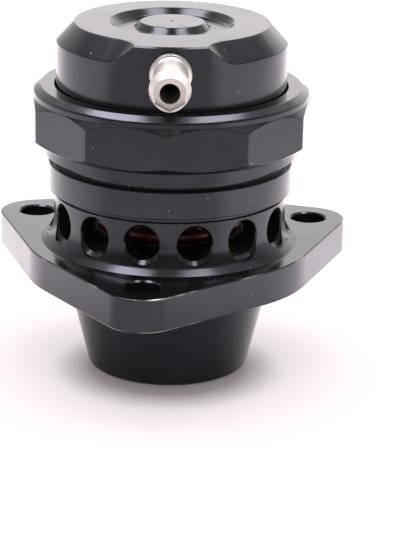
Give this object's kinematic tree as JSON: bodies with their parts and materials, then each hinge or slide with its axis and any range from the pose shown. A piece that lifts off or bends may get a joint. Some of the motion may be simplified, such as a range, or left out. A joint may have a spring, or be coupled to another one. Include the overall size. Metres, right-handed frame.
{
  "type": "blow off valve",
  "caption": "Piston blow off valve: bevelled cap with hose nipple, faceted lock ring, vented barrel and three-lobed bolt flange on a tapered inlet spigot.",
  "frame": {"origin": "on the valve's axis at the foot of the inlet spigot, where the inlet bore opens", "axes": "+Z along the axis from the inlet to the cap; -Y towards the hose nipple"},
  "size_m": [0.0663, 0.0633, 0.0653],
  "materials": {
    "black_anodised": "satin black anodised",
    "plated_nipple": "satin nickel plated",
    "washer_metal": "plain",
    "black_rubber": "matte",
    "red_rubber": "smooth",
    "guide_plastic": "smooth",
    "spring_steel": "drawn wire"
  },
  "bodies": {
    "valve": {"valve_body": "black_anodised", "flange_seal": "black_rubber", "cap_seal": "black_rubber", "lock_ring": "black_anodised", "top_cap": "black_anodised", "hose_nipple": "plated_nipple", "nipple_washer": "washer_metal", "spring": "spring_steel"},
    "piston": {"piston": "black_anodised", "piston_seal": "red_rubber", "guide_ring": "guide_plastic", "nose_seal": "red_rubber"}
  },
  "joints": [
    {"name": "piston_lift", "type": "slide", "parent": "valve", "child": "piston", "axis": [0, 0, 1], "range_m": [0, 0.008], "stiffness_N_per_m": 4400, "springref_m": -0.006, "deforming": ["spring"]}
  ]
}
